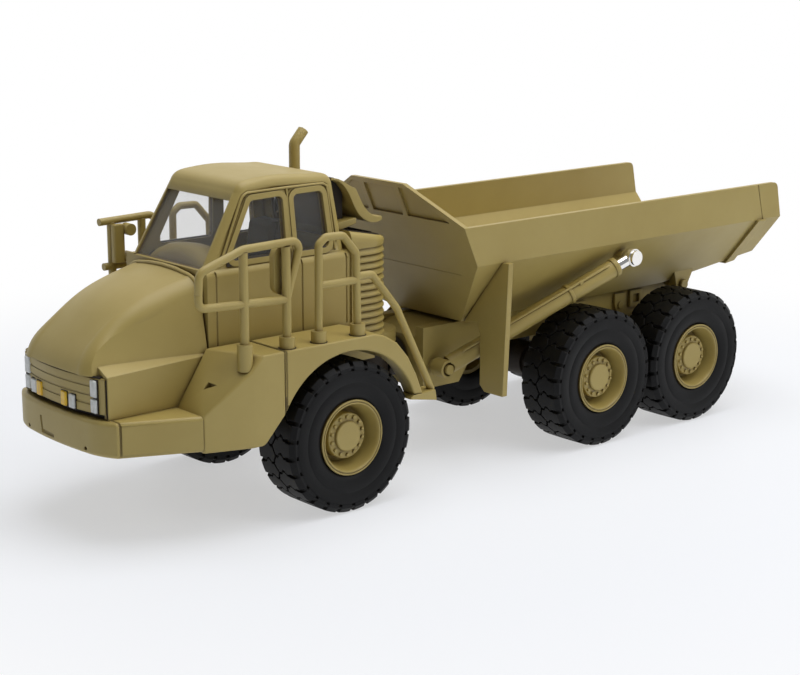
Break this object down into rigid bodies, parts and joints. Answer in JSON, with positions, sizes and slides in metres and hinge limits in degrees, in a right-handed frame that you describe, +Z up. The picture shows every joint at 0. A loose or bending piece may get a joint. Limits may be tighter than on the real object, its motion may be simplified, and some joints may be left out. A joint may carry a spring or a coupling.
{
  "type": "articulated dump truck scale model",
  "caption": "Die-cast scale model of an articulated dump truck in sand paint: hinged chassis, tipping bed on twin hoists, railed fenders, glazed cab and turning wheels.",
  "frame": {"origin": "On the floor under the middle of the overall length and width.", "axes": "+X points to the nose, +Y to the truck's left, +Z up; steered straight, bed lowered."},
  "size_m": [0.197, 0.0578, 0.0757],
  "materials": {
    "sand_paint": "matt desert sand paint",
    "tyre_rubber": "matt black moulded rubber",
    "bright_metal": "bright plating",
    "clear_plastic": "clear, slightly grey",
    "dark_plastic": "matt dark grey-brown",
    "dark_metal": "black-painted metal",
    "lamp_lens": "clear lens over a bright back",
    "amber_lens": "amber lens"
  },
  "bodies": {
    "front_unit": {"front_frame": "sand_paint", "front_axle": "dark_metal", "hitch_pin": "dark_metal", "bumper": "sand_paint", "grille": "sand_paint", "headlamps": "lamp_lens", "turn_lamps": "amber_lens", "hood": "sand_paint", "cab_shell": "sand_paint", "cab_roof": "sand_paint", "cab_glass": "clear_plastic", "cab_interior": "dark_plastic", "driver_seat": "dark_plastic", "steering_wheel": "dark_plastic", "louvre_housing": "sand_paint", "rear_wing": "sand_paint", "exhaust_stack": "sand_paint", "fender_left": "sand_paint", "fender_right": "sand_paint", "step_left": "sand_paint", "step_right": "sand_paint", "handrails_left": "sand_paint", "handrails_right": "sand_paint", "mirror_left": "sand_paint", "mirror_right": "sand_paint"},
    "hitch": {"hitch": "dark_metal"},
    "rear_unit": {"rear_frame": "sand_paint", "mid_axle": "dark_metal", "rear_axle": "dark_metal", "bogie_beams": "sand_paint"},
    "dump_body": {"dump_bed": "sand_paint", "mudguard_left": "sand_paint", "mudguard_right": "sand_paint"},
    "hoist_barrel_left": {"hoist_barrel_left": "sand_paint"},
    "hoist_rod_left": {"hoist_rod_left": "bright_metal"},
    "hoist_barrel_right": {"hoist_barrel_right": "sand_paint"},
    "hoist_rod_right": {"hoist_rod_right": "bright_metal"},
    "wheel_front_left": {"tyre_front_left": "tyre_rubber", "rim_front_left": "sand_paint"},
    "wheel_front_right": {"tyre_front_right": "tyre_rubber", "rim_front_right": "sand_paint"},
    "wheel_mid_left": {"tyre_mid_left": "tyre_rubber", "rim_mid_left": "sand_paint"},
    "wheel_mid_right": {"tyre_mid_right": "tyre_rubber", "rim_mid_right": "sand_paint"},
    "wheel_rear_left": {"tyre_rear_left": "tyre_rubber", "rim_rear_left": "sand_paint"},
    "wheel_rear_right": {"tyre_rear_right": "tyre_rubber", "rim_rear_right": "sand_paint"}
  },
  "joints": [
    {"name": "steer", "type": "hinge", "parent": "front_unit", "child": "hitch", "pos_m": [0.018, 0, 0.023], "axis": [0, 0, 1], "range_deg": [-45, 45]},
    {"name": "roll", "type": "hinge", "parent": "hitch", "child": "rear_unit", "pos_m": [0, 0, 0.023], "axis": [1, 0, 0], "range_deg": [-8, 8]},
    {"name": "tip", "type": "hinge", "parent": "rear_unit", "child": "dump_body", "pos_m": [-0.0735, 0, 0.031], "axis": [0, -1, 0], "range_deg": [0, 70]},
    {"name": "hoist_swing_left", "type": "hinge", "parent": "rear_unit", "child": "hoist_barrel_left", "pos_m": [0.006, 0.0132, 0.0218], "axis": [0.4825, 0.5005, 0.7188], "range_deg": [0, 7.51]},
    {"name": "hoist_slide_left", "type": "slide", "parent": "hoist_barrel_left", "child": "hoist_rod_left", "axis": [-0.8757, 0.2595, 0.4071], "range_m": [0, 0.03913]},
    {"name": "hoist_swing_right", "type": "hinge", "parent": "rear_unit", "child": "hoist_barrel_right", "pos_m": [0.006, -0.0132, 0.0218], "axis": [-0.4825, 0.5005, -0.7188], "range_deg": [0, 7.51]},
    {"name": "hoist_slide_right", "type": "slide", "parent": "hoist_barrel_right", "child": "hoist_rod_right", "axis": [-0.8757, -0.2595, 0.4071], "range_m": [0, 0.03913]},
    {"name": "spin_front_left", "type": "hinge", "parent": "front_unit", "child": "wheel_front_left", "pos_m": [0.0448, 0.02275, 0.01615], "axis": [0, 1, 0], "continuous": true},
    {"name": "spin_front_right", "type": "hinge", "parent": "front_unit", "child": "wheel_front_right", "pos_m": [0.0448, -0.02275, 0.01615], "axis": [0, 1, 0], "continuous": true},
    {"name": "spin_mid_left", "type": "hinge", "parent": "rear_unit", "child": "wheel_mid_left", "pos_m": [-0.0309, 0.02275, 0.01615], "axis": [0, 1, 0], "continuous": true},
    {"name": "spin_mid_right", "type": "hinge", "parent": "rear_unit", "child": "wheel_mid_right", "pos_m": [-0.0309, -0.02275, 0.01615], "axis": [0, 1, 0], "continuous": true},
    {"name": "spin_rear_left", "type": "hinge", "parent": "rear_unit", "child": "wheel_rear_left", "pos_m": [-0.0639, 0.02275, 0.01615], "axis": [0, 1, 0], "continuous": true},
    {"name": "spin_rear_right", "type": "hinge", "parent": "rear_unit", "child": "wheel_rear_right", "pos_m": [-0.0639, -0.02275, 0.01615], "axis": [0, 1, 0], "continuous": true}
  ],
  "couplings": [
    {"joint": "hoist_swing_left", "follows": "tip", "ratio": 0.10656},
    {"joint": "hoist_slide_left", "follows": "tip", "m_per_rad": 0.031949},
    {"joint": "hoist_swing_right", "follows": "tip", "ratio": 0.10656},
    {"joint": "hoist_slide_right", "follows": "tip", "m_per_rad": 0.031949}
  ]
}
